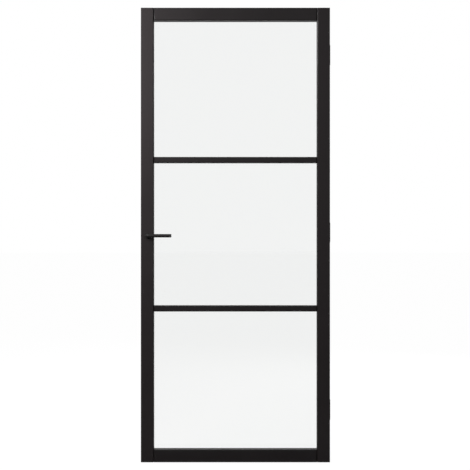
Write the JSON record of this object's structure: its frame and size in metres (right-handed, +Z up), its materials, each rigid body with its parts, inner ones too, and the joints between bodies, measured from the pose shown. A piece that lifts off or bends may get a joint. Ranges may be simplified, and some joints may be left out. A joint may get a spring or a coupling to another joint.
{
  "type": "glass door",
  "caption": "Slim black interior door leaf glazed with three stacked clear panes, with levers on small round rosettes, a magnetic latch and butt hinges.",
  "frame": {"origin": "Middle of the outer screw pair of the lowest hinge, on the face that is screwed to the jamb and in the middle of the leaf's thickness.", "axes": "+Z up. +X from the leaf towards the hinge jamb. +Y from the front of the leaf to its rear, where the hinge knuckles are."},
  "size_m": [0.8852, 0.14, 2.115],
  "materials": {
    "frame_lacquer": "satin black lacquer on fibreboard-clad timber",
    "glass": "clear float safety glass",
    "tape": "matt black closed-cell glazing tape",
    "setting_block": "hard rubber",
    "beech": "bare fluted beech",
    "black_hardware": "matt black powder coat",
    "zinc_steel": "bright zinc plated",
    "nylon": "white nylon",
    "magnet": "nickel plated"
  },
  "bodies": {
    "jamb_side": {"hinge_top_frame_plate": "black_hardware", "hinge_top_pin": "black_hardware", "hinge_middle_frame_plate": "black_hardware", "hinge_middle_pin": "black_hardware", "hinge_bottom_frame_plate": "black_hardware", "hinge_bottom_pin": "black_hardware", "hinge_rings": "zinc_steel"},
    "leaf": {"stile_lock": "frame_lacquer", "stile_hinge": "frame_lacquer", "rail_top": "frame_lacquer", "rail_bottom": "frame_lacquer", "bar_upper": "frame_lacquer", "bar_lower": "frame_lacquer", "frame_dowels": "beech", "glass_top": "glass", "glass_middle": "glass", "glass_bottom": "glass", "glazing_tape_top": "tape", "glazing_tape_middle": "tape", "glazing_tape_bottom": "tape", "bead_top_head": "frame_lacquer", "bead_top_sill": "frame_lacquer", "bead_top_left": "frame_lacquer", "bead_top_right": "frame_lacquer", "bead_middle_head": "frame_lacquer", "bead_middle_sill": "frame_lacquer", "bead_middle_left": "frame_lacquer", "bead_middle_right": "frame_lacquer", "bead_bottom_head": "frame_lacquer", "bead_bottom_sill": "frame_lacquer", "bead_bottom_left": "frame_lacquer", "bead_bottom_right": "frame_lacquer", "setting_blocks": "setting_block", "bead_pins": "zinc_steel", "lock_forend": "black_hardware", "lock_case": "zinc_steel", "lock_cover": "zinc_steel", "lock_case_screws": "zinc_steel", "lock_forend_screws": "black_hardware", "follower_spring": "zinc_steel", "latch_spring": "zinc_steel", "rosette_front": "black_hardware", "rosette_rear": "black_hardware", "rosette_base_front": "zinc_steel", "rosette_base_rear": "zinc_steel", "rosette_screws": "zinc_steel", "lever_bushes": "nylon", "hinge_top_door_plate": "black_hardware", "hinge_middle_door_plate": "black_hardware", "hinge_bottom_door_plate": "black_hardware", "hinge_screws": "black_hardware"},
    "handle": {"lever_front": "black_hardware", "lever_rear": "black_hardware", "spindle": "zinc_steel", "lever_grub_screws": "black_hardware", "lock_follower": "zinc_steel"},
    "latch": {"latch_bolt": "zinc_steel", "latch_magnet": "magnet"}
  },
  "joints": [
    {"name": "door_swing", "type": "hinge", "parent": "jamb_side", "child": "leaf", "pos_m": [-0.00275, 0.0265, 0], "axis": [0, 0, -1], "range_deg": [0, 175]},
    {"name": "lever_turn", "type": "hinge", "parent": "leaf", "child": "handle", "pos_m": [-0.852, 0, 0.814], "axis": [0, 1, 0], "range_deg": [0, 35], "stiffness_Nm_per_rad": 0.8, "springref_deg": -34.38, "deforming": ["follower_spring"]},
    {"name": "latch_slide", "type": "slide", "parent": "leaf", "child": "latch", "axis": [-1, 0, 0], "range_m": [0, 0.011], "stiffness_N_per_m": 60, "springref_m": -0.003, "deforming": ["latch_spring"]}
  ]
}
